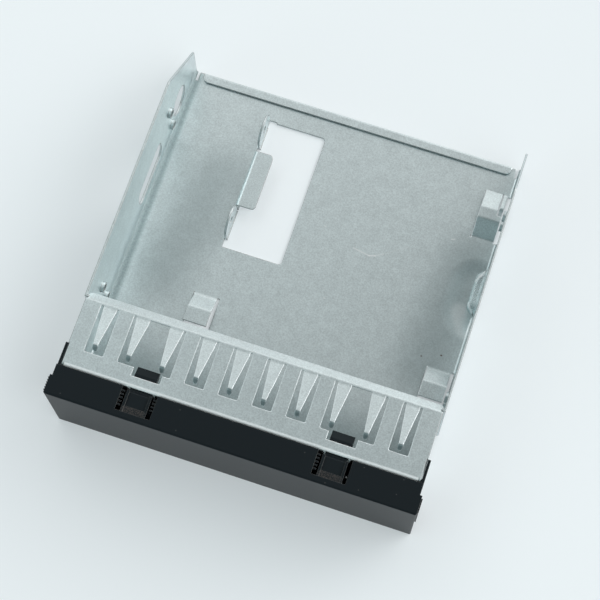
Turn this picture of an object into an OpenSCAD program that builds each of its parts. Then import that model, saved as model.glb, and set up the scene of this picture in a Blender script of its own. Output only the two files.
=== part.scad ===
// Blank for a 5.25 inch half-height drive bay: a folded sheet steel tray with a clip-on moulded bezel.
// The front wall of the tray stands at Y = 0 in the layout, +Y runs to the rear and Z = 0 is the underside.

/* [Tray] */
// Thickness of the zinc-plated steel sheet
sheet_t = 0.8; // [0.6:0.1:1]
// Width outside the side walls
tray_w = 146; // [144:0.5:148]
// Length from the front wall to the rear hem
tray_len = 149; // [146:0.5:160]
// Height from the underside to the top strip
tray_h = 42; // [41:0.1:43]
// Inside radius of the bends along the side walls
wall_r = 1.2; // [0.8:0.1:1.6]
// Inside radius of the other bends
bend_r = 0.6; // [0.4:0.1:1]
// Distance from the front wall to where the side walls start to slope down
slope_y = 123.5; // [122:0.5:126]
// Height of the side walls at their rear tips
tip_z = 20; // [16:0.5:24]
// Width of the flattened hem along the rear edge
hem_w = 4; // [3:0.5:5]

/* [Side screw holes] */
// Distance from the front wall to the front pair
hole_front_y = 39.8; // [38:0.1:41]
// Spacing of the pairs along the tray
hole_pitch_y = 79.25; // [79:0.05:79.5]
// Height of the lower holes
hole_low_z = 10; // [9.5:0.1:10.5]
// Height of the upper holes
hole_high_z = 21.84; // [21.5:0.02:22]
// Bore of the drawn collars, for M3 screws
hole_d = 3; // [2.5:0.1:3.2]
// How far the collars stand in from the wall
collar_h = 1.2; // [0.8:0.1:1.5]

/* [Spring finger strip] */
// Depth of the flat strip, from the front wall to the band
strip_y = 28; // [27.9:0.1:28.5]
// Length of the band that slopes down behind the strip
band_len = 3.8; // [3:0.1:4.5]
// Slope of the band
band_a = 35; // [20:5:50]
// Spacing of the spring fingers
finger_pitch = 13.6; // [13.4:0.1:13.8]
// Width of the window round one finger
window_w = 7.7; // [7.4:0.1:8]
// Front edge of the finger windows
window_front_y = 8.1; // [8:0.1:9]
// Rear edge of the finger windows
window_rear_y = 27.6; // [27:0.1:27.8]
// Width of a finger at its root
finger_root_w = 5.3; // [4.8:0.1:5.6]
// Width of a finger at its tip
finger_tip_w = 1.9; // [1.6:0.1:2.4]
// Angle at which a finger rises out of the strip
finger_a = 8; // [5:0.5:10]

/* [Floor window] */
// Side of the window near the left wall
window_x0 = -35; // [-36:0.5:-34]
// Side of the window near the middle
window_x1 = -10; // [-12:0.5:-8]
// Front edge of the window
window_y0 = 77.4; // [76:0.2:79]
// Rear edge of the window
window_y1 = 136.6; // [136:0.2:138]
// Width of each bent-up ear at its root
ear_w = 13.4; // [12.6:0.2:13.6]
// Height of the ears
ear_h = 12.5; // [11:0.5:13]
// Height of the raised plate between the ears
plate_z = 6; // [5:0.5:8]

/* [Floor tongues] */
// Width of the lanced tongues
tongue_w = 10; // [9:0.5:10.5]
// Height of the tongues above the floor
tongue_rise = 4.7; // [3:0.1:5.5]

/* [Bezel] */
// Width of the bezel
bezel_w = 148.6; // [148:0.1:149]
// Height of the bezel
bezel_h = 42.6; // [42.4:0.1:43]
// Depth of the bezel in front of the tray
bezel_depth = 12.4; // [11:0.1:14]
// Wall thickness of the bezel
bezel_t = 2; // [1.6:0.1:2.4]
// Radius of the bezel's front edges
edge_r = 0.7; // [0.3:0.1:1]
// Distance of each latch from the middle
latch_x = 39.2; // [38.5:0.1:39.8]
// Width of a latch tab
latch_w = 10; // [9:0.2:10.2]

/* [Hidden] */
$fn = 48;

// The layout is shifted so that the middle of the whole length is at Y = 0
mid_y = (tray_len - bezel_depth) / 2;

out_r = bend_r + sheet_t;
foot_z = wall_r + sheet_t;
half_w = tray_w / 2;
inner_x = half_w - sheet_t;

// The front of the tray is joggled in by one thickness. In its first 9.5 mm the walls are cut away beside the
// front wall, and the strip above them is a little narrower.
nose_x = inner_x;
nose_y = 29;
lip_x = nose_x - 0.4;
lip_wall_x = nose_x - 1.2;
lip_y = 9.5;

// Rear edge of the sloping band
band_y = strip_y + band_len * cos(band_a) + 0.6;

// Ten spring fingers, whose windows are cut a little to the left of the middle
finger_count = 10;
finger_shift = -0.4;
finger_tip_r = 0.8;
finger_tip_a = 55;
finger_tip_len = 2.4;
finger_knee_y = 11.8;
finger_bend_y = window_rear_y - 0.4;

// Notches in the strip through which the latch hooks show
notch_w = 11.6;
notch_y0 = 4.7;

// Openings in the side walls
round_hole_y = 129.1;
round_hole_z = 12.8;
round_hole_d = 13.6;
slot_y0 = 80.6;
slot_y1 = 107.4;
slot_z0 = 8.8;
slot_z1 = 19.2;
slot_r = 4;

// Boss pressed in from the right wall: a long round hump, whose section is a bell with a flat crest
boss_y = [83.2, 93.5];
boss_z = 10;
boss_r = 7;
boss_crest_r = 1.5;
boss_depth = 4.2;
boss_steps = 8;

// Ears, and the plate between them
ear_y = [81, 123.5];
ear_hole_d = 3;
ear_hole_z = 7;
plate_y0 = 95;
plate_y1 = 120.4;
plate_reach = 7.6;
plate_corner_r = 1.8;

// Tongues beside the strip, as the place of the middle and the rear root
tongue_root_y = 55.5;
tongue_tip_y = 41.5;
tongue_x = [-35, 65.3];
tongue_a = 34;
tongue_root_r = 3;
tongue_crest_r = 1.6;
tongue_gap_left = 0.2;
tongue_gap_right = [0.9, 1.3];
tongue_front_gap = 1.6;

// Bridge lanced up by the right wall: a rear slope, a level crest and a steeper front slope
bridge_x0 = 61;
bridge_x1 = 70.5;
bridge_slit_x = 68.3;
bridge_rear_y = 136.4;
bridge_front_y = 114.6;
bridge_notch_y = 124.6;
bridge_rise = 4.7;
bridge_rear_a = 27.5;
bridge_front_a = 34;
bridge_foot_r = 1.5;
bridge_crest_r = 2;
bridge_gap_left = 0.2;
bridge_slit_w = 0.5;

// Finger beside the bridge's rear slope, hooked down at its end
hook_slope = 7.3;
hook_r = 0.8;
hook_a = 65;
hook_drop = 2.4;

// Bezel details
shoulder_w = 146.8;
shoulder_d = 4.6;
front_t = 2.5;
slot_w = 2.1;
tab_root_y = -9.7;
tab_step_y = -7.2;
tab_rim_w = 1;
tab_rim_drop = 0.15;
tab_band_drop = 0.4;
tab_panel_drop = 1;
hook_y0 = 4.9;
hook_y1 = 9.1;
hook_w = 9;
hook_top = tray_h - 0.3;
arm_top = tray_h - sheet_t - 0.3;
arm_t = 1.6;
lower_hook_z = 8;
lower_hook_w = 8;
lower_hook_t = 2;

// Left and right tab: the width of the slot on its right side, and the ribs in that slot
right_slot_w = [2, 1.5];
right_slot_ribs = [4, 0];
left_slot_ribs = 5;
rib_pitch = 1.4;
rib_t = 0.6;
rib_y = -1.75;
rib_depth = 6;

// Side arms, and the fine ribs on the sides of the front flange
side_arm_x = 72.3;
side_arm_y = [-3, 9.6];
side_arm_z = [12, 41];
barb_z = [18, 31];
barb_reach = 2.5;
barb_len = 3.4;
grip_y = [-11, -6];
grip_z0 = 22;
grip_pitch = 1;
grip_h = 0.5;

// 2D shapes drawn as (Y, Z) and run along X, or drawn as (X, Z) and run along Y
module along_x(x0, x1) {
    translate([x0, 0, 0])
        rotate([90, 0, 90])
            linear_extrude(x1 - x0) children();
}

module along_y(y0, y1) {
    translate([0, y1, 0])
        rotate([90, 0, 0])
            linear_extrude(y1 - y0) children();
}

// Box given by its lowest and highest corner
module block(low, high) {
    translate(low) cube(high - low);
}

module both_sides() {
    children();
    mirror([1, 0, 0]) children();
}

// Rectangle with round corners, given by its corners
module soft_rect(low, high, r) {
    translate([low.x + r, low.y]) square([high.x - low.x - 2 * r, high.y - low.y]);
    translate([low.x, low.y + r]) square([high.x - low.x, high.y - low.y - 2 * r]);
    for (x = [low.x + r, high.x - r], y = [low.y + r, high.y - r])
        translate([x, y]) circle(r);
}

// Middle line of a folded strip of sheet. A leg is [length, turn, radius]: a straight run, then a bend.
// Each point is [along, up, heading].
function fold(legs, at = [0, 0], a = 0, i = 0) =
    i == len(legs) ? [[at.x, at.y, a]] :
    let (
        turn = legs[i][1],
        r = legs[i][2],
        stop = at + legs[i][0] * [cos(a), sin(a)],
        centre = stop + sign(turn) * r * [-sin(a), cos(a)],
        steps = ceil(abs(turn) / 12),
        bend = [for (k = [1:1:steps]) let (b = a + turn * k / steps)
            [centre.x + sign(turn) * r * sin(b), centre.y - sign(turn) * r * cos(b), b]],
        rest = turn == 0 ? stop : [bend[steps - 1].x, bend[steps - 1].y]
    )
    concat([[at.x, at.y, a]], turn == 0 ? [] : concat([[stop.x, stop.y, a]],
        [for (k = [0:1:steps - 2]) bend[k]]), fold(legs, rest, a + turn, i + 1));

// Straight part of a slope that climbs to a height between two bends, whose radii add up to r
function slope_len(rise, a, r) = (rise - r * (1 - cos(a))) / sin(a);

// Run along the sheet of such a slope with both its bends
function slope_run(rise, a, r) = slope_len(rise, a, r) * cos(a) + r * sin(a);

// Outline of the folded strip, half a thickness to each side of its middle line
module folded(legs, t = sheet_t) {
    path = fold(legs);
    upper = [for (p = path) [p.x - t / 2 * sin(p.z), p.y + t / 2 * cos(p.z)]];
    lower = [for (p = path) [p.x + t / 2 * sin(p.z), p.y - t / 2 * cos(p.z)]];
    last = len(path) - 1;
    polygon(concat(upper, [for (k = [0:last]) lower[last - k]]));
}

// Folded strip that starts in the sheet at a place and runs to the front
module folded_forward(x0, x1, y, z, legs) {
    translate([x1, y, z])
        rotate([90, 0, -90])
            linear_extrude(x1 - x0) folded(legs);
}

// U of floor and side walls with true round bends
module channel(outer_x, y0, y1) {
    along_y(y0, y1)
        difference() {
            channel_outline(outer_x, 0, foot_z);
            channel_outline(outer_x - sheet_t, sheet_t, wall_r);
        }
}

module channel_outline(x, z, r) {
    translate([-x + r, z]) square([2 * (x - r), tray_h + 10]);
    translate([-x, z + r]) square([2 * x, tray_h + 10]);
    for (s = [-1, 1]) translate([s * (x - r), z + r]) circle(r);
}

// Side view of floor and walls, which trims the channel
module side_view() {
    polygon([
        [0, 0],
        [tray_len, 0],
        [tray_len, tip_z - 0.6],
        [tray_len - 0.6, tip_z],
        [slope_y + 0.8, tray_h - 0.4],
        [slope_y - 0.6, tray_h],
        [nose_y, tray_h],
        [nose_y, tray_h - sheet_t],
        [lip_y, tray_h - sheet_t],
        [lip_y, foot_z + 0.2],
        [0, foot_z + 0.2]
    ]);
}

// Front wall with the top strip and the start of the floor, as one fold
module front_fold() {
    difference() {
        along_x(-nose_x, nose_x)
            difference() {
                fold_outline(0, tray_h, out_r, strip_y);
                fold_outline(sheet_t, tray_h - sheet_t, bend_r, strip_y + 1);
            }
        both_sides()
            block([nose_x - foot_z, lip_y, -1], [nose_x + 1, strip_y + 1, foot_z]);
    }
    band();
}

module fold_outline(low, high, r, far) {
    translate([low + r, low]) square([far - low - r, high - low]);
    translate([low, low + r]) square([r, high - low - 2 * r]);
    for (z = [low + r, high - r]) translate([low + r, z]) circle(r);
}

// Band that slopes down behind the strip, with round outer corners
module band() {
    intersection() {
        along_x(-nose_x, nose_x)
            translate([strip_y - 0.5, tray_h - sheet_t / 2])
                folded([[0.5, -band_a, 1], [band_len, 0, 0]]);
        translate([0, 0, tray_h - 10])
            linear_extrude(12)
                soft_rect([-nose_x, strip_y - 10], [nose_x, band_y], 1.8);
    }
}

function finger_x(i) = finger_shift + (i - (finger_count - 1) / 2) * finger_pitch;

// Windows in the strip. The second and third share one, and so do their mirror images.
module finger_windows() {
    low_z = tray_h - 5;
    for (i = [0:finger_count - 1]) {
        paired = i == 1 || i == finger_count - 3;
        reach = paired ? finger_pitch : 0;
        translate([0, 0, low_z])
            linear_extrude(10)
                soft_rect([finger_x(i) - window_w / 2, window_front_y],
                    [finger_x(i) + window_w / 2 + reach, window_rear_y], 0.5);
    }
    both_sides()
        block([latch_x - notch_w / 2, notch_y0, low_z],
            [latch_x + notch_w / 2, window_front_y + 1, tray_h + 5]);
}

// Spring finger: it rises to the front, and its round tip is bent down
module finger(x) {
    tip_y = finger_knee_y - finger_tip_r * (sin(finger_a) + sin(finger_tip_a))
        - finger_tip_len * cos(finger_tip_a);
    intersection() {
        folded_forward(x - finger_root_w, x + finger_root_w, window_rear_y + 0.4, tray_h - sheet_t / 2, [
            [window_rear_y + 0.4 - finger_bend_y, finger_a, 3],
            [finger_bend_y - finger_knee_y, -finger_a - finger_tip_a, finger_tip_r],
            [finger_tip_len, 0, 0]
        ]);
        translate([x, 0, tray_h - 5])
            linear_extrude(12) {
                polygon([
                    [-finger_root_w / 2, window_rear_y + 0.5],
                    [finger_root_w / 2, window_rear_y + 0.5],
                    [finger_root_w / 2, finger_bend_y - 1],
                    [finger_tip_w / 2, finger_knee_y],
                    [finger_tip_w / 2, tip_y + finger_tip_w / 2],
                    [-finger_tip_w / 2, tip_y + finger_tip_w / 2],
                    [-finger_tip_w / 2, finger_knee_y],
                    [-finger_root_w / 2, finger_bend_y - 1]
                ]);
                translate([0, tip_y + finger_tip_w / 2 - 0.3]) circle(d = finger_tip_w);
            }
    }
}

// Openings in the front wall for the bezel's latch arms and lower hooks
module front_wall_openings() {
    both_sides() {
        block([latch_x - 5.4, -1, tray_h - 5.2], [latch_x + 5.4, out_r, tray_h - sheet_t]);
        block([latch_x - 5.4, -1, tray_h - 5.2], [latch_x + 5.4, 0.3, tray_h + 1]);
        block([latch_x - 4.6, -1, 4.5], [latch_x + 4.6, sheet_t + bend_r, 9.5]);
    }
}

// Clears the corners where the bezel's side arms lie
module lip_corners() {
    both_sides() {
        block([lip_x, -1, -1], [half_w + 1, lip_y, tray_h + 1]);
        block([lip_wall_x, -1, -1], [half_w + 1, lip_y, tray_h - sheet_t]);
    }
}

// Drawn collar of one screw hole, on the inside of the right wall
module collar(y, z) {
    translate([inner_x - collar_h, y, z])
        rotate([0, 90, 0])
            cylinder(h = collar_h + sheet_t / 2, d = hole_d + 1.4);
}

module screw_bore(y, z) {
    translate([inner_x - collar_h - 1, y, z])
        rotate([0, 90, 0])
            cylinder(h = collar_h + sheet_t + 2, d = hole_d);
}

module at_screw_holes() {
    both_sides()
        for (y = [hole_front_y, hole_front_y + hole_pitch_y], z = [hole_low_z, hole_high_z])
            translate([0, y, z]) children();
}

// Round hole and long slot in the left wall
module left_wall_openings() {
    along_x(-half_w - 1, -inner_x + 1) {
        translate([round_hole_y, round_hole_z]) circle(d = round_hole_d);
        soft_rect([slot_y0, slot_z0], [slot_y1, slot_z1], slot_r);
    }
}

// Height of the boss above the wall at a distance from the middle of its section
function bell(r) =
    r < boss_crest_r ? boss_depth :
    boss_depth * (1 + cos(180 * (r - boss_crest_r) / (boss_r - boss_crest_r))) / 2;

// Half section of the boss, closed by a flat back
module boss_section(back) {
    width = boss_r - boss_crest_r;
    polygon(concat(
        [[0, -back], [boss_r, -back]],
        [for (k = [0:boss_steps]) let (r = boss_r - width * k / boss_steps) [r, bell(r)]],
        [[0, boss_depth]]
    ));
}

// Boss in the right wall: the section runs straight along the wall and is turned round at both ends
module boss(set_out, back) {
    translate([inner_x + set_out, 0, boss_z])
        rotate([0, -90, 0]) {
            translate([0, boss_y[1], 0])
                rotate([90, 0, 0])
                    linear_extrude(boss_y[1] - boss_y[0]) {
                        boss_section(back);
                        mirror([1, 0]) boss_section(back);
                    }
            translate([0, boss_y[1], 0]) rotate_extrude(angle = 180) boss_section(back);
            translate([0, boss_y[0], 0]) rotate([0, 0, 180]) rotate_extrude(angle = 180) boss_section(back);
        }
}

// Window in the floor, with reliefs at the ends of the ears and of the plate
module floor_window() {
    translate([0, 0, -1])
        linear_extrude(5) {
            soft_rect([window_x0 + sheet_t / 2, window_y0], [window_x1, window_y1], 1.6);
            translate([window_x0 - 0.8, window_y0]) square([4, ear_y[0] - window_y0]);
            translate([window_x0 - 0.8, ear_y[0] + ear_w]) square([4, plate_y0 - ear_y[0] - ear_w]);
            translate([window_x0 - 0.8, plate_y1]) square([4, ear_y[1] - plate_y1]);
            translate([window_x0 - 0.8, ear_y[1] + ear_w - 0.5]) square([4, 0.8]);
            translate([window_x0, window_y1 - 3]) square([3, 3]);
        }
}

// Ear bent up from the left edge of the window
module ear(y) {
    difference() {
        intersection() {
            along_y(y, y + ear_w)
                translate([window_x0 - 3, sheet_t / 2])
                    folded([[3 - out_r, 90, bend_r + sheet_t / 2], [ear_h, 0, 0]]);
            along_x(window_x0 - 4, window_x0 + 2) {
                translate([y, -1]) square([ear_w, 1 + ear_h - ear_w / 2]);
                translate([y + ear_w / 2, ear_h - ear_w / 2]) circle(d = ear_w);
            }
        }
        translate([window_x0 - 4, y + ear_w / 2, ear_hole_z])
            rotate([0, 90, 0]) cylinder(h = 6, d = ear_hole_d);
    }
}

// Plate raised on a riser between the ears, with round outer corners
module raised_plate() {
    mid_r = bend_r + sheet_t / 2;
    intersection() {
        along_y(plate_y0, plate_y1)
            translate([window_x0 - 3, sheet_t / 2])
                folded([
                    [3 - out_r, 90, mid_r],
                    [plate_z - 2 * mid_r - sheet_t, -90, mid_r],
                    [plate_reach, 0, 0]
                ]);
        translate([0, 0, -1])
            linear_extrude(plate_z + 2)
                soft_rect([window_x0 - 10, plate_y0], [window_x0 + plate_reach, plate_y1], plate_corner_r);
    }
}

// Opening left in the floor by a lanced tongue: a shear line on its left, and gaps in front and on its right
module tongue_opening(x, gap_right) {
    block([x - tongue_w / 2 - tongue_gap_left, tongue_tip_y - tongue_front_gap, -1],
        [x + tongue_w / 2 + gap_right, tongue_root_y, 3]);
}

// Tongue lanced up out of the floor: a slope, then a level end
module tongue(x) {
    bends = tongue_root_r + tongue_crest_r;
    rise = tongue_rise - sheet_t / 2;
    folded_forward(x - tongue_w / 2, x + tongue_w / 2, tongue_root_y + 1, sheet_t / 2, [
        [1, tongue_a, tongue_root_r],
        [slope_len(rise, tongue_a, bends), -tongue_a, tongue_crest_r],
        [tongue_root_y - tongue_tip_y - slope_run(rise, tongue_a, bends), 0, 0]
    ]);
}

// Opening round the bridge. It runs out through the bend of the wall, and has reliefs at its front corners.
module bridge_opening() {
    block([bridge_x0 - bridge_gap_left, bridge_front_y, -1], [bridge_x1, bridge_rear_y, 3]);
    block([bridge_x1 - 0.1, bridge_front_y - 0.5, -1], [half_w + 1, bridge_rear_y - 0.8, foot_z]);
    block([bridge_x0 - 0.6, bridge_front_y - 0.5, -1], [bridge_x0 + 0.1, bridge_front_y + 0.3, 3]);
}

// Bridge: both its ends stay joined to the floor, and a notch cuts into its right side
module bridge() {
    bends = bridge_foot_r + bridge_crest_r;
    crest = bridge_rear_y - bridge_front_y
        - slope_run(bridge_rise, bridge_rear_a, bends) - slope_run(bridge_rise, bridge_front_a, bends);
    intersection() {
        folded_forward(bridge_x0, bridge_x1, bridge_rear_y + 1, sheet_t / 2, [
            [1, bridge_rear_a, bridge_foot_r],
            [slope_len(bridge_rise, bridge_rear_a, bends), -bridge_rear_a, bridge_crest_r],
            [crest, -bridge_front_a, bridge_crest_r],
            [slope_len(bridge_rise, bridge_front_a, bends), bridge_front_a, bridge_foot_r],
            [1, 0, 0]
        ]);
        translate([0, 0, -1])
            linear_extrude(20)
                polygon([
                    [bridge_x0, bridge_front_y - 2],
                    [bridge_x1 - 0.1, bridge_front_y - 2],
                    [bridge_x1 - 0.1, bridge_front_y + 0.3],
                    [bridge_x1, bridge_front_y + 0.3],
                    [bridge_x1, bridge_notch_y],
                    [bridge_slit_x + 0.3, bridge_notch_y],
                    [bridge_slit_x, bridge_notch_y + 0.6],
                    [bridge_slit_x, bridge_rear_y + 2],
                    [bridge_x0, bridge_rear_y + 2]
                ]);
    }
}

// Finger that rises beside the bridge's rear slope, and whose end is hooked down behind the notch
module bridge_finger() {
    folded_forward(bridge_slit_x + bridge_slit_w, bridge_x1 - 0.1, bridge_rear_y + 1, sheet_t / 2, [
        [1, bridge_rear_a, bridge_foot_r],
        [hook_slope, -bridge_rear_a - hook_a, hook_r + sheet_t / 2],
        [hook_drop, 0, 0]
    ]);
}

// Hem: the rear edge of the floor folded flat over itself
module hem() {
    gap_r = 0.15 + sheet_t / 2;
    hem_x = half_w - 4.6;
    intersection() {
        along_x(-hem_x, hem_x)
            translate([tray_len - hem_w - 2, sheet_t / 2])
                folded([[hem_w + 2 - gap_r - sheet_t / 2, 180, gap_r], [hem_w - gap_r - sheet_t / 2, 0, 0]]);
        translate([0, 0, -1])
            linear_extrude(5)
                soft_rect([-hem_x, tray_len - hem_w], [hem_x, tray_len + 3], 2.4);
    }
}

// Cuts at the rear corners: the floor ends under the hem, and a notch frees the hem from each wall
module rear_edge_cuts() {
    gap_r = 0.15 + sheet_t / 2;
    block([-half_w + 4.6, tray_len - gap_r - sheet_t / 2, -1], [half_w - 4.6, tray_len + 1, 3]);
    both_sides()
        block([half_w - 2.6, tray_len - 4, -1], [half_w - 1.4, tray_len + 1, foot_z]);
}

module tray_body() {
    intersection() {
        union() {
            channel(half_w, nose_y, tray_len);
            channel(nose_x, 0, nose_y + sheet_t);
            both_sides()
                block([nose_x - sheet_t, nose_y, foot_z], [half_w, nose_y + sheet_t, tray_h]);
        }
        along_x(-half_w - 1, half_w + 1) side_view();
    }
    front_fold();
}

module steel_tray() {
    color("#a9b4b4")
        translate([0, -mid_y, 0])
            difference() {
                union() {
                    difference() {
                        tray_body();
                        lip_corners();
                        finger_windows();
                        front_wall_openings();
                        left_wall_openings();
                        boss(sheet_t, 2);
                        floor_window();
                        for (i = [0, 1]) tongue_opening(tongue_x[i], tongue_gap_right[i]);
                        bridge_opening();
                        rear_edge_cuts();
                    }
                    for (i = [0:finger_count - 1]) finger(finger_x(i));
                    for (x = tongue_x) tongue(x);
                    for (y = ear_y) ear(y);
                    raised_plate();
                    bridge();
                    bridge_finger();
                    hem();
                    difference() {
                        boss(0, sheet_t / 2);
                        boss(sheet_t, 2);
                    }
                    at_screw_holes() collar(0, 0);
                }
                at_screw_holes() screw_bore(0, 0);
            }
}

// Outer form of the bezel: a front flange and a narrower shoulder behind it, with round front edges
module bezel_form() {
    intersection() {
        translate([0, 0, -1])
            linear_extrude(bezel_h + 2) {
                soft_rect([-bezel_w / 2, -bezel_depth], [bezel_w / 2, -shoulder_d + 5], edge_r);
            }
        along_x(-bezel_w, bezel_w)
            soft_rect([-bezel_depth, 0], [5, bezel_h], edge_r);
        union() {
            block([-bezel_w, -bezel_depth - 1, -1], [bezel_w, -shoulder_d, bezel_h + 1]);
            block([-shoulder_w / 2, -bezel_depth, -1], [shoulder_w / 2, 0, bezel_h + 1]);
        }
    }
}

module bezel_hollow() {
    in_x = shoulder_w / 2 - bezel_t;
    block([-in_x, -bezel_depth + front_t, bezel_t], [in_x, 1, bezel_h - bezel_t]);
}

module at_tab(i) {
    translate([i == 0 ? -latch_x : latch_x, 0, 0]) children();
}

// Slots that free a latch tab from the top face
module tab_slots(right_w) {
    low = bezel_h - bezel_t - 1;
    block([-latch_w / 2 - slot_w, tab_root_y, low], [-latch_w / 2, 1, bezel_h + 1]);
    block([latch_w / 2, tab_root_y, low], [latch_w / 2 + right_w, 1, bezel_h + 1]);
    block([-latch_w / 2, tab_root_y, low], [latch_w / 2, 1, bezel_h + 1]);
}

// Latch: a band at its root, a lower panel that passes under the strip, and a ramped hook at its end
module latch() {
    root_y = -bezel_depth + front_t - 0.5;
    along_x(-hook_w / 2, hook_w / 2)
        polygon([
            [root_y, arm_top - arm_t],
            [root_y, bezel_h - tab_band_drop],
            [tab_step_y, bezel_h - tab_band_drop],
            [tab_step_y, bezel_h - tab_panel_drop],
            [-1.6, bezel_h - tab_panel_drop],
            [-0.6, arm_top],
            [hook_y0, arm_top],
            [hook_y0, hook_top],
            [hook_y0 + 1.2, hook_top],
            [hook_y1, arm_top - 0.4],
            [hook_y1, arm_top - arm_t]
        ]);
    for (x = [-latch_w / 2, latch_w / 2 - tab_rim_w])
        block([x, root_y, arm_top - arm_t], [x + tab_rim_w, -1, bezel_h - tab_rim_drop]);
}

// Ribs down the outer wall of a slot
module slot_ribs(wall_x, reach, count) {
    for (k = [0:1:count - 1])
        translate([0, rib_y - k * rib_pitch, 0])
            block([min(wall_x, wall_x + reach), -rib_t / 2, bezel_h - rib_depth],
                [max(wall_x, wall_x + reach), rib_t / 2, bezel_h - 0.6]);
}

// Lower hook, which catches behind the front wall
module lower_hook() {
    low = lower_hook_z - lower_hook_t;
    along_x(latch_x - lower_hook_w / 2, latch_x + lower_hook_w / 2)
        polygon([
            [-bezel_depth + front_t - 0.5, low],
            [-bezel_depth + front_t - 0.5, lower_hook_z],
            [2.4, lower_hook_z],
            [4.2, lower_hook_z - 1.2],
            [2.2, low - 1.2],
            [1.1, low - 1.2],
            [1.1, low]
        ]);
}

// Side arm outside the corner of the tray, with a barb that reaches in behind the front wall
module side_arm() {
    block([side_arm_x, side_arm_y[0], side_arm_z[0]], [shoulder_w / 2, side_arm_y[1], side_arm_z[1]]);
    translate([side_arm_x, sheet_t + 0.2, barb_z[0]])
        linear_extrude(barb_z[1] - barb_z[0])
            polygon([[0.3, 0], [-barb_reach, 0], [0.3, barb_len]]);
}

// Fine upright ribs on the side of the front flange
module side_grip() {
    for (y = [grip_y[0]:grip_pitch:grip_y[1]])
        block([bezel_w / 2 - 0.3, y, grip_z0], [bezel_w / 2 + grip_h, y + grip_pitch / 2, bezel_h - 1]);
}

module bezel() {
    color("#202224")
        translate([0, -mid_y, 0]) {
            difference() {
                bezel_form();
                bezel_hollow();
                for (i = [0, 1]) at_tab(i) tab_slots(right_slot_w[i]);
            }
            for (i = [0, 1])
                at_tab(i) {
                    latch();
                    slot_ribs(-latch_w / 2 - slot_w - 0.3, 1.6, left_slot_ribs);
                    slot_ribs(latch_w / 2 + right_slot_w[i] + 0.3, -1.6, right_slot_ribs[i]);
                }
            both_sides() {
                lower_hook();
                side_arm();
                side_grip();
            }
        }
}

steel_tray();
bezel();
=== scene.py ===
"""Looks of a drive bay blank: a tray folded from zinc-plated steel sheet, closed by a moulded ABS bezel."""
import math

import bpy
from bpy.props import FloatProperty, FloatVectorProperty, PointerProperty
from mathutils import Matrix, Vector

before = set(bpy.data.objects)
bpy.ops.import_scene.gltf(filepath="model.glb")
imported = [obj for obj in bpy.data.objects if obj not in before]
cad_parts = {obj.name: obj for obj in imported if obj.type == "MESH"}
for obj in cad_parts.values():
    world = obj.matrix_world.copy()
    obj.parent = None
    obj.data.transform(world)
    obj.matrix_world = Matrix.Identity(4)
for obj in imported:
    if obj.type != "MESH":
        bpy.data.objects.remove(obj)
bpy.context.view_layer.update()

bl_info = {
    "name": "Drive Bay Blank",
    "version": (1, 0, 0),
    "blender": (4, 5, 0),
    "location": "3D View > Sidebar > Bay Blank",
    "description": "Finishes and studio for a folded steel drive bay blank with a moulded bezel",
    "category": "Object",
}

MM = 0.001

# Marks in the finish are lines from place to place in mm, each with its strength. A mark's reach is how far
# it spreads to each side of its line, in mm.

# In the floor of the tray: a bent scratch, a short one and two bright nicks.
SCRATCHES = (
    ((16.3, 25.8, 0.8), (23.3, 24.6, 0.8), 0.55),
    ((23.3, 24.6, 0.8), (25.7, 25.3, 0.8), 0.7),
    ((25.7, 25.3, 0.8), (28.7, 27.1, 0.8), 0.35),
    ((28.7, 27.1, 0.8), (37.8, 33.4, 0.8), 0.12),
    ((53.6, 42.2, 0.8), (54.9, 42.7, 0.8), 0.6),
    ((1.9, 31.2, 0.8), (2.2, 31.2, 0.8), 0.5),
    ((11.4, 1.3, 0.8), (11.7, 1.3, 0.8), 0.5),
)
SCRATCH_REACH = 0.45
# Two specks of rust near the right wall.
RUST = (
    ((64.2, -6.9, 0.8), (64.4, -6.9, 0.8), 0.9),
    ((56.6, -9.7, 0.8), (56.8, -9.7, 0.8), 0.6),
)
RUST_REACH = 0.5
# Painted shade on the floor: broad darker patches along the right wall, at the left, and under the strip.
PAINTED_SHADE_PATCHES = (
    ((64.0, 34.0, 0.8), (58.0, -14.0, 0.8), 0.4),
    ((-46.0, 38.0, 0.8), (-55.0, -8.0, 0.8), 0.35),
    ((-64.0, -51.0, 0.8), (64.0, -51.0, 0.8), 0.3),
)
SHADE_PATCH_REACH = 21.0
# Painted shade round the screw collars of the left wall.
COLLAR_SHADE = tuple(((-72.0, y, z), (-69.5, y, z), 0.8) for y in (-28.5, 50.8) for z in (10.0, 21.8))
COLLAR_SHADE_REACH = 2.6
# The inside of the left bend: painted shade darkens the crease, where the fold has also roughened the
# plating.
CREASE = (((-71.9, -36.0, 1.1), (-71.9, 79.0, 1.1), 1.0),)
CREASE_REACH = 4.2
CREASE_SHADE_DEPTH = 0.25
CREASE_ROUGHNESS = 0.6
# Painted highlights along ridges: the strip's front bend, and both ends of the boss in the right wall.
RIDGE_HIGHLIGHTS = (
    ((-70.5, -67.4, 41.8), (70.5, -67.4, 41.8), 1.0),
    ((71.5, 29.3, 13.7), (69.8, 26.4, 13.8), 0.8),
    ((69.8, 26.4, 13.8), (68.5, 24.2, 12.8), 0.8),
    ((68.5, 13.9, 12.5), (71.4, 9.9, 12.3), 1.0),
)
RIDGE_HIGHLIGHT_REACH = 1.1
# The middle line of the boss, how far the draw smooths the sheet, and how far it pulls it in.
BOSS = ((69.5, 14.9, 10), (69.5, 25.2, 10))
BOSS_REACH = 9.0
BOSS_PULL = 16.0
# A painted reflection of the boss: a bright patch on the floor in front of it.
BOSS_REFLECTION = (((70.0, 6.5, 1.0), (65.5, 13.5, 0.8), 0.35),)
BOSS_REFLECTION_REACH = 5.0
# How much painted shade darkens the tips of the spring fingers.
TIP_SHADE = 0.6

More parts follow.
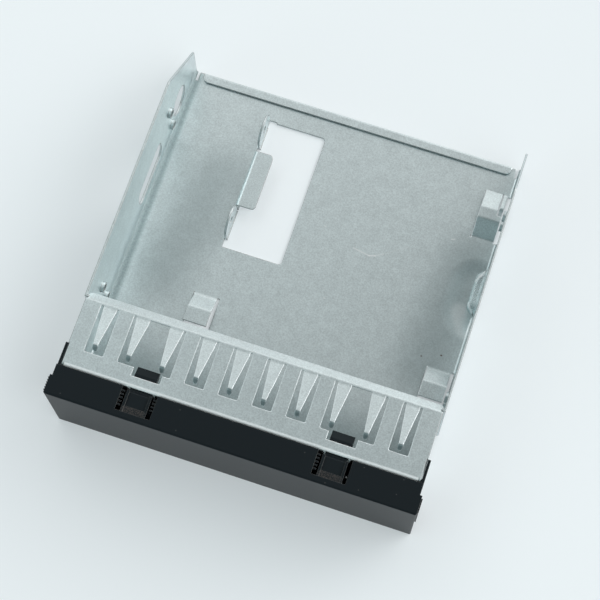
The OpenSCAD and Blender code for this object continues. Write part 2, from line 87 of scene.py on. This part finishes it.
# Where each zone of the tray begins and is reached in full, in mm along an axis. The side axis is X without
# its sign, so that it counts outward both ways.
ZONES = {
    "floor": ("Z", 2.5, 1.0),
    "walls": ("side", 70.8, 71.2),
    "under strip": ("Z", 38.0, 37.0),
    "left of bridge": ("X", 57.0, 56.0),
    "finger ends": ("Y", -56.8, -57.2),
    "above strip": ("Z", 42.05, 42.2),
}

# The rough band at the root of the right latch, which the left one mirrors, in mm.
LATCH_ROOT = ((35.6, -76.8, 42.4), (42.8, -76.8, 42.4))
LATCH_ROOT_REACH = 1.4
# Where the bezel's top face begins and is reached in full, in mm of height.
BEZEL_TOP = (42.3, 42.5)
# The dust on the bezel in mm: one speck to each square of this side, and a speck's radius.
DUST_GAP = 15.0
DUST_RADIUS = 0.27

# The cosine between the rounded and the flat normal where an edge starts to show, and where it is full.
EDGE_START = 0.985
STEEL_EDGE_FULL = 0.9
ABS_EDGE_FULL = 0.85
# How much of the grey the edges of the bezel take, as painted highlight.
ABS_EDGE_HIGHLIGHT = 0.6

# Soft panels of light: bearing from +X towards +Y and height in degrees, then brightness and tightness.
DAYLIGHT_PANELS = (
    (45, 15, 4.9, 20),
    (90, 15, 1.0, 20),
    (0, 45, 1.9, 24),
    (45, 45, 0.9, 24),
    (135, 45, 1.65, 24),
)
FILL_PANELS = (
    (225, 15, 2.0, 20),
    (315, 45, 1.4, 24),
    (180, 45, 0.9, 24),
)
# The brightness that each colour of light has between its panels.
DARKEST_LIGHT = 0.02


def linear(hex_colour):
    """An sRGB colour such as "a1b2c3", as linear red, green and blue."""
    channels = [int(hex_colour[i:i + 2], 16) / 255 for i in (0, 2, 4)]
    return tuple(c / 12.92 if c <= 0.04045 else ((c + 0.055) / 1.055) ** 2.4 for c in channels)


def add_node(tree, kind, inputs=None, **fields):
    """Adds a node, sets its fields, and gives each named or numbered input a value or a link."""
    node = tree.nodes.new(kind)
    for name, value in fields.items():
        setattr(node, name, value)
    for key, value in (inputs or {}).items():
        if isinstance(value, bpy.types.NodeSocket):
            tree.links.new(value, node.inputs[key])
        else:
            node.inputs[key].default_value = value
    return node


def new_material(name):
    """An empty material and its node tree."""
    material = bpy.data.materials.new(name)
    material.use_nodes = True
    material.node_tree.nodes.clear()
    return material, material.node_tree


def dress(piece, material):
    """Gives a piece this one material."""
    piece.data.materials.clear()
    piece.data.materials.append(material)


def stroke(tree, place, start, end, reach, core=0.3):
    """How near a point is to the line between two places in mm: 0 beyond its reach, 1 in its core."""
    start = Vector(start) * MM
    along = Vector(end) * MM - start
    offset = add_node(tree, "ShaderNodeVectorMath", {0: place, 1: start}, operation="SUBTRACT")
    share = add_node(
        tree, "ShaderNodeVectorMath", {0: offset.outputs[0], 1: along / along.length_squared},
        operation="DOT_PRODUCT")
    held = add_node(tree, "ShaderNodeClamp", {0: share.outputs["Value"]})
    foot = add_node(
        tree, "ShaderNodeVectorMath", {0: along, "Scale": held.outputs[0]}, operation="SCALE")
    gap = add_node(
        tree, "ShaderNodeVectorMath", {0: offset.outputs[0], 1: foot.outputs[0]}, operation="DISTANCE")
    near = add_node(
        tree, "ShaderNodeMapRange",
        {"Value": gap.outputs["Value"], "From Min": reach * MM, "From Max": core * reach * MM},
        interpolation_type="SMOOTHSTEP")
    return near.outputs[0]


def marks(tree, place, lines, reach, core=0.3):
    """Several strokes in one mask, each with its own strength."""
    total = 0.0
    for start, end, strength in lines:
        line = stroke(tree, place, start, end, reach, core)
        added = add_node(
            tree, "ShaderNodeMath", {0: line, 1: strength, 2: total},
            operation="MULTIPLY_ADD", use_clamp=True)
        total = added.outputs[0]
    return total


def tray_zones(tree, place):
    """A mask for each of the tray's zones."""
    axes = add_node(tree, "ShaderNodeSeparateXYZ", {0: place})
    side = add_node(tree, "ShaderNodeMath", {0: axes.outputs["X"]}, operation="ABSOLUTE")
    along = {"side": side.outputs[0], **axes.outputs}
    zones = {}
    for name, (axis, start, full) in ZONES.items():
        inside = add_node(
            tree, "ShaderNodeMapRange",
            {"Value": along[axis], "From Min": start * MM, "From Max": full * MM})
        zones[name] = inside.outputs[0]
    return zones


def rounded_edges(tree, radius, full):
    """Where edges are rounded off, as a mask, and the rounded normal."""
    rounded = add_node(tree, "ShaderNodeBevel", {"Radius": radius}, samples=8)
    flat = add_node(tree, "ShaderNodeNewGeometry")
    turned = add_node(
        tree, "ShaderNodeVectorMath", {0: rounded.outputs[0], 1: flat.outputs["Normal"]},
        operation="DOT_PRODUCT")
    edges = add_node(
        tree, "ShaderNodeMapRange",
        {"Value": turned.outputs["Value"], "From Min": EDGE_START, "From Max": full})
    return edges.outputs[0], rounded.outputs[0]


class BlankSteelSettings(bpy.types.PropertyGroup):
    """The zinc-plated sheet of the tray."""

    zinc: FloatVectorProperty(
        name="Zinc", description="Colour of the zinc plating", subtype="COLOR",
        default=linear("d1dadb"), min=0, max=1)
    # This colour is the bare steel of the scratches and cut edges, and painted highlight on the edges, the
    # ridges and the patch in front of the boss.
    bare_steel_and_highlight: FloatVectorProperty(
        name="Bare steel", description="Colour of the cut edges, which carry no plating", subtype="COLOR",
        default=linear("f4f6f6"), min=0, max=1)
    # This colour is painted shade: on the floor patches, round the collars, in the left crease and on the
    # finger tips.
    dull: FloatVectorProperty(
        name="Dull zinc", description="Colour of creases, clouds and rubbed tips", subtype="COLOR",
        default=linear("7b8c8e"), min=0, max=1)
    sheared: FloatVectorProperty(
        name="Sheared steel", description="Colour of the duller cut edges of walls, ears and floor",
        subtype="COLOR", default=linear("918e8c"), min=0, max=1)
    rust: FloatVectorProperty(
        name="Rust", description="Colour of the specks of rust", subtype="COLOR",
        default=linear("5c443c"), min=0, max=1)
    grain: FloatProperty(
        name="Grain", description="Width of the fine grain in the plating", unit="LENGTH",
        default=0.55 * MM, min=0.1 * MM, max=5 * MM)
    cloud: FloatProperty(
        name="Clouding", description="Width of the soft clouds in the plating", unit="LENGTH",
        default=5 * MM, min=1 * MM, max=50 * MM)
    roughness: FloatProperty(
        name="Roughness", description="Roughness of the dull plating", subtype="FACTOR",
        default=0.36, min=0, max=1)
    drawn_roughness: FloatProperty(
        name="Drawn roughness", description="Roughness of the plating on the boss", subtype="FACTOR",
        default=0.26, min=0, max=1)
    edge: FloatProperty(
        name="Rolled edge", description="Radius that the punch leaves on the cut edges", unit="LENGTH",
        default=0.45 * MM, min=0.05 * MM, max=0.8 * MM)


class BlankPlasticSettings(bpy.types.PropertyGroup):
    """The black ABS of the bezel."""

    abs_black: FloatVectorProperty(
        name="ABS", description="Colour of the moulded plastic", subtype="COLOR",
        default=linear("0a0d12"), min=0, max=1)
    cut_back: FloatVectorProperty(
        name="Cut-back mould", description="Colour of the mottle at the root of each latch", subtype="COLOR",
        default=linear("5f5550"), min=0, max=1)
    # This grey is the dust's own colour, and painted highlight on the bezel's edges.
    dust_and_edge_highlight: FloatVectorProperty(
        name="Worn edge", description="Colour of the rubbed edges and of dust", subtype="COLOR",
        default=linear("726e6c"), min=0, max=1)
    sheen: FloatVectorProperty(
        name="Sheen", description="Tint of the light on the surface", subtype="COLOR",
        default=linear("e2f8fa"), min=0, max=1)
    roughness: FloatProperty(
        name="Roughness", description="Roughness of the moulded surface", subtype="FACTOR",
        default=0.42, min=0, max=1)
    texture: FloatProperty(
        name="Mould texture", description="Width of one pit of the spark-eroded mould texture",
        unit="LENGTH", default=0.35 * MM, min=0.05 * MM, max=2 * MM)
    edge: FloatProperty(
        name="Edge", description="Radius of the moulded edges", unit="LENGTH",
        default=0.2 * MM, min=0.05 * MM, max=1 * MM)


class BlankStageSettings(bpy.types.PropertyGroup):
    """The camera, the floor and the light."""

    target: FloatVectorProperty(
        name="Target", description="Point of the floor in the middle of the view", subtype="XYZ",
        unit="LENGTH", default=(2.23 * MM, -2.43 * MM, 0))
    distance: FloatProperty(
        name="Distance", description="From the camera to the target", unit="LENGTH", default=715.8 * MM)
    azimuth: FloatProperty(
        name="Azimuth", description="Turn of the camera about the vertical", subtype="ANGLE",
        default=math.radians(19.80))
    elevation: FloatProperty(
        name="Elevation", description="Height angle of the camera", subtype="ANGLE",
        default=math.radians(72.74))
    roll: FloatProperty(
        name="Roll", description="Roll of the camera about its own axis", subtype="ANGLE",
        default=math.radians(-1.32))
    lens: FloatProperty(
        name="Lens", description="Focal length on a frame 36 mm wide", unit="CAMERA", default=104.4)
    floor: FloatVectorProperty(
        name="Floor", description="Colour of the table", subtype="COLOR",
        default=linear("eceff1"), min=0, max=1)
    daylight: FloatVectorProperty(
        name="Daylight", description="Colour of the main light", subtype="COLOR",
        default=linear("f5f7f7"), min=0, max=1)
    fill: FloatVectorProperty(
        name="Fill", description="Colour of the light on the shadow side", subtype="COLOR",
        default=linear("daf1f4"), min=0, max=1)


def steel_material(settings):
    """The zinc-plated steel sheet of the tray."""
    # Cold rolled and then electroplated, it is a dull grey-green metal with a fine mottled grain.
    material, tree = new_material("zinc_plated_steel_sheet")
    place = add_node(tree, "ShaderNodeTexCoord").outputs["Object"]
    zones = tray_zones(tree, place)
    # The real grain is finer than a tenth of a millimetre, so it is drawn several times as coarse to show.
    grain = add_node(
        tree, "ShaderNodeTexNoise", {"Vector": place, "Scale": 1 / settings.grain, "Detail": 3.0})
    cloud = add_node(
        tree, "ShaderNodeTexNoise", {"Vector": place, "Scale": 1 / settings.cloud, "Detail": 2.0})
    fine_tone = add_node(
        tree, "ShaderNodeMapRange",
        {"Value": grain.outputs[0], "From Min": 0.3, "From Max": 0.7, "To Min": 0.87, "To Max": 1.13})
    cloud_tone = add_node(
        tree, "ShaderNodeMapRange",
        {"Value": cloud.outputs[0], "From Min": 0.3, "From Max": 0.7, "To Min": 0.96, "To Max": 1.04})
    tone = add_node(
        tree, "ShaderNodeMath", {0: fine_tone.outputs[0], 1: cloud_tone.outputs[0]}, operation="MULTIPLY")
    plated = add_node(
        tree, "ShaderNodeMix", {"Factor": 1.0, "A": (*settings.zinc, 1), "B": tone.outputs[0]},
        data_type="RGBA", blend_type="MULTIPLY")
    # Painted shade: the darker patches, kept to the floor.
    patches = add_node(
        tree, "ShaderNodeMath", {0: marks(tree, place, PAINTED_SHADE_PATCHES, SHADE_PATCH_REACH, core=0.05), 1: zones["floor"]},
        operation="MULTIPLY")
    crease = marks(tree, place, CREASE, CREASE_REACH)
    # Painted shade in the crease of the left bend.
    crease_shade = add_node(tree, "ShaderNodeMath", {0: crease, 1: CREASE_SHADE_DEPTH}, operation="MULTIPLY")

    # The sheet was plated before it was punched, so the cut and rolled edges are bare steel; their
    # brightness, which spreads a little onto the faces beside them, is partly painted highlight.
    edges, normal = rounded_edges(tree, settings.edge, STEEL_EDGE_FULL)
    drawn = stroke(tree, place, *BOSS, BOSS_REACH, core=0.6)
    cut = add_node(
        tree, "ShaderNodeMath", {0: drawn, 1: -1.0, 2: edges}, operation="MULTIPLY_ADD", use_clamp=True)
    bare_edges_and_highlights = add_node(
        tree, "ShaderNodeMath", {0: cut.outputs[0], 1: marks(tree, place, RIDGE_HIGHLIGHTS, RIDGE_HIGHLIGHT_REACH)},
        operation="MAXIMUM")
    # The side walls, the ears and the floor have duller edges than the strip and the bridge.
    inner = add_node(
        tree, "ShaderNodeMath", {0: zones["under strip"], 1: zones["left of bridge"]}, operation="MULTIPLY")
    duller = add_node(
        tree, "ShaderNodeMath", {0: zones["walls"], 1: inner.outputs[0]}, operation="MAXIMUM")
    edge_colour = add_node(
        tree, "ShaderNodeMix",
        {"Factor": duller.outputs[0], "A": (*settings.bare_steel_and_highlight, 1), "B": (*settings.sheared, 1)},
        data_type="RGBA")
    # Painted shade darkens the curled tips of the spring fingers.
    tips = add_node(
        tree, "ShaderNodeMath", {0: zones["finger ends"], 1: zones["above strip"]}, operation="MULTIPLY")
    painted = add_node(tree, "ShaderNodeMath", {0: tips.outputs[0], 1: TIP_SHADE}, operation="MULTIPLY")

    # From the plating up, each mask with the colour that it lays over what is there.
    # The patches, collars, crease and tips are painted shade; the patch in front of the boss, the edges and
    # the ridges are painted highlight.
    layers = (
        (patches.outputs[0], (*settings.dull, 1)),
        (marks(tree, place, COLLAR_SHADE, COLLAR_SHADE_REACH), (*settings.dull, 1)),
        (marks(tree, place, BOSS_REFLECTION, BOSS_REFLECTION_REACH), (*settings.bare_steel_and_highlight, 1)),
        (crease_shade.outputs[0], (*settings.dull, 1)),
        (marks(tree, place, SCRATCHES, SCRATCH_REACH), (*settings.bare_steel_and_highlight, 1)),
        (marks(tree, place, RUST, RUST_REACH), (*settings.rust, 1)),
        (bare_edges_and_highlights.outputs[0], edge_colour.outputs[2]),
        (painted.outputs[0], (*settings.dull, 1)),
    )
    colour = plated.outputs[2]
    for mask, tint in layers:
        layer = add_node(tree, "ShaderNodeMix", {"Factor": mask, "A": colour, "B": tint}, data_type="RGBA")
        colour = layer.outputs[2]

    # Where the cut edges and the painted ridge highlights are bright, the sheet is half way from metal to
    # matt, so that it scatters light from all round as fine scratches do.
    bright = add_node(
        tree, "ShaderNodeMath", {0: duller.outputs[0], 1: -1.0, 2: bare_edges_and_highlights.outputs[0]},
        operation="MULTIPLY_ADD", use_clamp=True)
    metal = add_node(
        tree, "ShaderNodeMapRange", {"Value": bright.outputs[0], "To Min": 1.0, "To Max": 0.4})
    # The draw smooths the plating on the boss, and the fold roughens it along the crease.
    smoothed = add_node(
        tree, "ShaderNodeMapRange",
        {"Value": drawn, "To Min": settings.roughness, "To Max": settings.drawn_roughness})
    roughness = add_node(
        tree, "ShaderNodeMath", {0: crease, 1: CREASE_ROUGHNESS, 2: smoothed.outputs[0]},
        operation="MULTIPLY_ADD")
    # Rolled sheet is faintly wavy, and the draw has pulled it in round the boss.
    waves = add_node(
        tree, "ShaderNodeBump",
        {"Strength": 0.12, "Distance": 0.02 * MM, "Height": cloud.outputs[0], "Normal": normal})
    pulled = add_node(
        tree, "ShaderNodeBump",
        {"Strength": 1.0, "Distance": 0.8 * MM, "Height": stroke(tree, place, *BOSS, BOSS_PULL, core=0.55),
         "Normal": waves.outputs[0]}, invert=True)
    shader = add_node(tree, "ShaderNodeBsdfPrincipled", {
        "Base Color": colour, "Metallic": metal.outputs[0], "Roughness": roughness.outputs[0],
        "Normal": pulled.outputs[0]})
    add_node(tree, "ShaderNodeOutputMaterial", {"Surface": shader.outputs[0]})
    return material


def abs_material(settings):
    """The injection-moulded ABS of the bezel."""
    # A spark-eroded mould gives it a near-black surface with a soft even sheen; its edges are painted greyer
    # as highlight.
    material, tree = new_material("moulded_black_abs")
    place = add_node(tree, "ShaderNodeTexCoord").outputs["Object"]
    axes = add_node(tree, "ShaderNodeSeparateXYZ", {0: place})
    # The real pits are about a tenth of a millimetre wide, so they are drawn three times as coarse to show.
    pits = add_node(
        tree, "ShaderNodeTexNoise", {"Vector": place, "Scale": 1 / settings.texture, "Detail": 2.0})
    # Each latch has a rough mottled band at its root, where the mould was cut back.
    side = add_node(tree, "ShaderNodeMath", {0: axes.outputs["X"]}, operation="ABSOLUTE")
    mirrored = add_node(
        tree, "ShaderNodeCombineXYZ", {0: side.outputs[0], 1: axes.outputs["Y"], 2: axes.outputs["Z"]})
    band = stroke(tree, mirrored.outputs[0], *LATCH_ROOT, LATCH_ROOT_REACH, core=0.8)
    mottle = add_node(
        tree, "ShaderNodeMapRange",
        {"Value": pits.outputs[0], "From Min": 0.42, "From Max": 0.62, "To Max": 0.4})
    root = add_node(tree, "ShaderNodeMath", {0: band, 1: mottle.outputs[0]}, operation="MULTIPLY")
    # Specks of dust lie on the top face.
    cells = add_node(
        tree, "ShaderNodeTexVoronoi", {"Vector": place, "Scale": 1 / (DUST_GAP * MM)},
        voronoi_dimensions="2D")
    specks = add_node(
        tree, "ShaderNodeMapRange",
        {"Value": cells.outputs["Distance"], "From Min": DUST_RADIUS / DUST_GAP,
         "From Max": DUST_RADIUS / DUST_GAP / 2, "To Max": 0.3})
    top = add_node(
        tree, "ShaderNodeMapRange",
        {"Value": axes.outputs["Z"], "From Min": BEZEL_TOP[0] * MM, "From Max": BEZEL_TOP[1] * MM})
    dust = add_node(tree, "ShaderNodeMath", {0: specks.outputs[0], 1: top.outputs[0]}, operation="MULTIPLY")
    edges, normal = rounded_edges(tree, settings.edge, ABS_EDGE_FULL)
    # Painted highlight: the rounded edges of the bezel turn grey.
    dust_and_edge_highlight = add_node(tree, "ShaderNodeMath", {0: edges, 1: ABS_EDGE_HIGHLIGHT}, operation="MULTIPLY")

    # From the plastic up, each mask with the colour that it lays over what is there.
    layers = (
        (root.outputs[0], settings.cut_back),
        (dust.outputs[0], settings.dust_and_edge_highlight),
        (dust_and_edge_highlight.outputs[0], settings.dust_and_edge_highlight),
    )
    colour = (*settings.abs_black, 1)
    for mask, tint in layers:
        layer = add_node(
            tree, "ShaderNodeMix", {"Factor": mask, "A": colour, "B": (*tint, 1)}, data_type="RGBA")
        colour = layer.outputs[2]
    bump = add_node(
        tree, "ShaderNodeBump",
        {"Strength": 0.3, "Distance": 0.03 * MM, "Height": pits.outputs[0], "Normal": normal})
    shader = add_node(tree, "ShaderNodeBsdfPrincipled", {
        "Base Color": colour, "Roughness": settings.roughness, "IOR": 1.5, "Specular IOR Level": 0.26,
        "Specular Tint": (*settings.sheen, 1), "Normal": bump.outputs[0]})
    add_node(tree, "ShaderNodeOutputMaterial", {"Surface": shader.outputs[0]})
    return material


class BAYBLANK_OT_plate_tray(bpy.types.Operator):
    """Gives the folded tray its zinc-plated finish"""

    bl_idname = "bayblank.plate_tray"
    bl_label = "Plate the tray"

    def execute(self, context):
        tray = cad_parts["steel_tray"]
        dress(tray, steel_material(context.scene.blank_steel))
        return {"FINISHED"}


class BAYBLANK_OT_finish_bezel(bpy.types.Operator):
    """Gives the bezel its moulded black finish"""

    bl_idname = "bayblank.finish_bezel"
    bl_label = "Finish the bezel"

    def execute(self, context):
        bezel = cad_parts["bezel"]
        dress(bezel, abs_material(context.scene.blank_plastic))
        return {"FINISHED"}


class BAYBLANK_OT_set_stage(bpy.types.Operator):
    """Puts the blank on a pale table under soft studio light, and aims the camera"""

    bl_idname = "bayblank.set_stage"
    bl_label = "Set the stage"

    def execute(self, context):
        settings = context.scene.blank_stage
        self.lay_floor(context.scene, settings)
        self.light_room(context.scene, settings)
        self.aim_camera(context.scene, settings)
        return {"FINISHED"}

    def lay_floor(self, scene, settings):
        """The table, whose colour is shown partly as it is, and partly as the light falls on it."""
        half_width = 4.0
        plain_share = 0.35
        corners = [(x * half_width, y * half_width, 0) for x, y in ((-1, -1), (1, -1), (1, 1), (-1, 1))]
        mesh = bpy.data.meshes.new("table")
        mesh.from_pydata(corners, [], [(0, 1, 2, 3)])
        table = bpy.data.objects.new("table", mesh)
        scene.collection.objects.link(table)
        # A pressed laminate, pale, even and without gloss.
        material, tree = new_material("pale_matt_laminate")
        matt = add_node(tree, "ShaderNodeBsdfDiffuse", {"Color": (*settings.floor, 1)})
        plain = add_node(tree, "ShaderNodeEmission", {"Color": (*settings.floor, 1), "Strength": 1.0})
        path = add_node(tree, "ShaderNodeLightPath")
        share = 0.0
        for ray in ("Is Camera Ray", "Is Glossy Ray", "Is Transmission Ray"):
            added = add_node(
                tree, "ShaderNodeMath", {0: path.outputs[ray], 1: plain_share, 2: share},
                operation="MULTIPLY_ADD")
            share = added.outputs[0]
        surface = add_node(
            tree, "ShaderNodeMixShader", {0: share, 1: matt.outputs[0], 2: plain.outputs[0]})
        add_node(tree, "ShaderNodeOutputMaterial", {"Surface": surface.outputs[0]})
        dress(table, material)

    def light_room(self, scene, settings):
        """A dark ceiling, daylight from the right and rear, and a cooler fill from the left and front."""
        world = bpy.data.worlds.new("studio")
        world.use_nodes = True
        tree = world.node_tree
        tree.nodes.clear()
        direction = add_node(tree, "ShaderNodeTexCoord").outputs["Generated"]
        daylight = self.glow(tree, direction, settings.daylight, DAYLIGHT_PANELS)
        fill = self.glow(tree, direction, settings.fill, FILL_PANELS)
        both = add_node(tree, "ShaderNodeAddShader", {0: daylight, 1: fill})
        add_node(tree, "ShaderNodeOutputWorld", {"Surface": both.outputs[0]})
        scene.world = world

    def glow(self, tree, direction, colour, panels):
        """The light of several soft round panels of one colour."""
        total = DARKEST_LIGHT
        for bearing, height, strength, tightness in panels:
            turn = Matrix.Rotation(math.radians(bearing), 3, "Z")
            tilt = Matrix.Rotation(-math.radians(height), 3, "Y")
            lean = add_node(
                tree, "ShaderNodeVectorMath", {0: direction, 1: turn @ tilt @ Vector((1, 0, 0))},
                operation="DOT_PRODUCT")
            near = add_node(
                tree, "ShaderNodeMapRange",
                {"Value": lean.outputs["Value"], "From Min": -1.0, "From Max": 1.0})
            soft = add_node(tree, "ShaderNodeMath", {0: near.outputs[0], 1: tightness}, operation="POWER")
            added = add_node(
                tree, "ShaderNodeMath", {0: soft.outputs[0], 1: strength, 2: total},
                operation="MULTIPLY_ADD")
            total = added.outputs[0]
        light = add_node(tree, "ShaderNodeBackground", {"Color": (*colour, 1), "Strength": total})
        return light.outputs[0]

    def aim_camera(self, scene, settings):
        """The camera looks at the target from its distance, and is turned, lowered and rolled about it."""
        camera = bpy.data.objects.new("camera", bpy.data.cameras.new("camera"))
        scene.collection.objects.link(camera)
        camera.data.lens = settings.lens
        camera.data.sensor_width = 36
        camera.data.clip_start = 0.01
        camera.matrix_world = (
            Matrix.Translation(settings.target)
            @ Matrix.Rotation(settings.azimuth, 4, "Z")
            @ Matrix.Rotation(math.pi / 2 - settings.elevation, 4, "X")
            @ Matrix.Rotation(settings.roll, 4, "Z")
            @ Matrix.Translation((0, 0, settings.distance)))
        scene.camera = camera


class BAYBLANK_PT_sidebar(bpy.types.Panel):
    """Lists the steps that dress the blank"""

    bl_idname = "BAYBLANK_PT_sidebar"
    bl_label = "Drive bay blank"
    bl_space_type = "VIEW_3D"
    bl_region_type = "UI"
    bl_category = "Bay Blank"

    def draw(self, context):
        for operator in OPERATORS:
            self.layout.operator(operator.bl_idname)


SETTINGS = {
    "blank_steel": BlankSteelSettings,
    "blank_plastic": BlankPlasticSettings,
    "blank_stage": BlankStageSettings,
}
OPERATORS = (BAYBLANK_OT_plate_tray, BAYBLANK_OT_finish_bezel, BAYBLANK_OT_set_stage)


def register():
    for name, group in SETTINGS.items():
        bpy.utils.register_class(group)
        setattr(bpy.types.Scene, name, PointerProperty(type=group))
    for operator in OPERATORS:
        bpy.utils.register_class(operator)
    bpy.utils.register_class(BAYBLANK_PT_sidebar)


def unregister():
    bpy.utils.unregister_class(BAYBLANK_PT_sidebar)
    for operator in reversed(OPERATORS):
        bpy.utils.unregister_class(operator)
    for name, group in reversed(SETTINGS.items()):
        delattr(bpy.types.Scene, name)
        bpy.utils.unregister_class(group)


def main():
    register()
    bpy.context.scene.view_settings.view_transform = "Standard"
    bpy.ops.bayblank.plate_tray()
    bpy.ops.bayblank.finish_bezel()
    bpy.ops.bayblank.set_stage()


if __name__ == "__main__":
    main()
